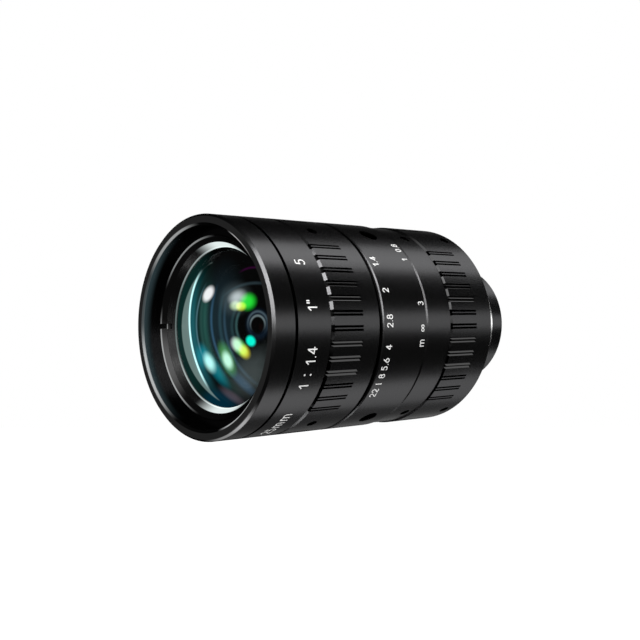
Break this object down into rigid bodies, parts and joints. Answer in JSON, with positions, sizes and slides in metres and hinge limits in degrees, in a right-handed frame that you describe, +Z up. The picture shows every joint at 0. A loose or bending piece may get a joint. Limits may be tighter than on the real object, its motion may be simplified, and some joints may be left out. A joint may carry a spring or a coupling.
{
  "type": "c-mount machine vision lens",
  "caption": "Manual fixed focal length lens for a C-mount camera, with a knurled focus ring, a knurled iris ring driving a bladed diaphragm, and a threaded rear mount.",
  "frame": {"origin": "on the optical axis, in the plane of the mounting flange", "axes": "+Y along the optical axis towards the camera's sensor, +Z up as pictured, +X to the side"},
  "size_m": [0.041, 0.0729, 0.041],
  "materials": {
    "black_anodised": "satin black anodised",
    "coated_glass": "coated optical glass",
    "black_steel": "black oxide",
    "blade_steel": "matt black",
    "bare_steel": "bright turned",
    "brass": "turned"
  },
  "bodies": {
    "mount": {"mount_barrel": "black_anodised", "flange_ring": "bare_steel", "c_mount_ring": "black_anodised"},
    "lens_block": {"front_ring": "black_anodised", "front_retaining_ring": "black_anodised", "front_element": "coated_glass", "front_barrel": "black_anodised", "front_group_retainer": "black_anodised", "second_element": "coated_glass", "front_spacer": "black_anodised", "third_element": "coated_glass", "iris_base": "black_anodised", "rear_barrel": "black_anodised", "rear_group_retainer": "black_anodised", "fourth_element": "coated_glass", "fifth_element": "coated_glass", "rear_spacer": "black_anodised", "sixth_element": "coated_glass", "seventh_element": "coated_glass", "rear_retaining_ring": "black_anodised", "middle_barrel": "black_anodised", "guide_keys": "black_steel", "focus_retainer": "black_anodised"},
    "iris_ring": {"iris_ring": "black_anodised", "iris_sleeve": "black_anodised", "iris_set_screws": "black_steel", "iris_drive_pin": "black_steel", "iris_cam": "black_anodised"},
    "focus_ring": {"focus_ring": "black_anodised", "focus_nut": "brass", "focus_front_screws": "black_steel", "focus_rear_screws": "black_steel"},
    "iris_blade_1": {"iris_blade_1": "blade_steel"},
    "iris_blade_2": {"iris_blade_2": "blade_steel"},
    "iris_blade_3": {"iris_blade_3": "blade_steel"},
    "iris_blade_4": {"iris_blade_4": "blade_steel"},
    "iris_blade_5": {"iris_blade_5": "blade_steel"},
    "iris_blade_6": {"iris_blade_6": "blade_steel"},
    "iris_blade_7": {"iris_blade_7": "blade_steel"},
    "iris_blade_8": {"iris_blade_8": "blade_steel"}
  },
  "joints": [
    {"name": "focus_slide", "type": "slide", "parent": "mount", "child": "lens_block", "axis": [0, -1, 0], "range_m": [0, 0.000806]},
    {"name": "focus_turn", "type": "hinge", "parent": "lens_block", "child": "focus_ring", "pos_m": [0, -0.0195, 0], "axis": [0, -1, 0], "range_deg": [-0.2, 47.9]},
    {"name": "iris_turn", "type": "hinge", "parent": "lens_block", "child": "iris_ring", "pos_m": [0, -0.048, 0], "axis": [0, 1, 0], "range_deg": [-63.9, 10.4]},
    {"name": "iris_blade_1_turn", "type": "hinge", "parent": "lens_block", "child": "iris_blade_1", "pos_m": [0.0134, -0.047, 0], "axis": [0, -1, 0], "range_deg": [-28.5, 4.8]},
    {"name": "iris_blade_2_turn", "type": "hinge", "parent": "lens_block", "child": "iris_blade_2", "pos_m": [0.00948, -0.047, 0.00948], "axis": [0, -1, 0], "range_deg": [-28.5, 4.8]},
    {"name": "iris_blade_3_turn", "type": "hinge", "parent": "lens_block", "child": "iris_blade_3", "pos_m": [0, -0.047, 0.0134], "axis": [0, -1, 0], "range_deg": [-28.5, 4.8]},
    {"name": "iris_blade_4_turn", "type": "hinge", "parent": "lens_block", "child": "iris_blade_4", "pos_m": [-0.00948, -0.047, 0.00948], "axis": [0, -1, 0], "range_deg": [-28.5, 4.8]},
    {"name": "iris_blade_5_turn", "type": "hinge", "parent": "lens_block", "child": "iris_blade_5", "pos_m": [-0.0134, -0.047, 0], "axis": [0, -1, 0], "range_deg": [-28.5, 4.8]},
    {"name": "iris_blade_6_turn", "type": "hinge", "parent": "lens_block", "child": "iris_blade_6", "pos_m": [-0.00948, -0.047, -0.00948], "axis": [0, -1, 0], "range_deg": [-28.5, 4.8]},
    {"name": "iris_blade_7_turn", "type": "hinge", "parent": "lens_block", "child": "iris_blade_7", "pos_m": [0, -0.047, -0.0134], "axis": [0, -1, 0], "range_deg": [-28.5, 4.8]},
    {"name": "iris_blade_8_turn", "type": "hinge", "parent": "lens_block", "child": "iris_blade_8", "pos_m": [0.00948, -0.047, -0.00948], "axis": [0, -1, 0], "range_deg": [-28.5, 4.8]}
  ],
  "couplings": [
    {"joint": "focus_turn", "follows": "focus_slide", "rad_per_m": 1032.9},
    {"joint": "iris_blade_1_turn", "follows": "iris_turn", "ratio": 0.4428},
    {"joint": "iris_blade_2_turn", "follows": "iris_turn", "ratio": 0.4428},
    {"joint": "iris_blade_3_turn", "follows": "iris_turn", "ratio": 0.4428},
    {"joint": "iris_blade_4_turn", "follows": "iris_turn", "ratio": 0.4428},
    {"joint": "iris_blade_5_turn", "follows": "iris_turn", "ratio": 0.4428},
    {"joint": "iris_blade_6_turn", "follows": "iris_turn", "ratio": 0.4428},
    {"joint": "iris_blade_7_turn", "follows": "iris_turn", "ratio": 0.4428},
    {"joint": "iris_blade_8_turn", "follows": "iris_turn", "ratio": 0.4428}
  ]
}
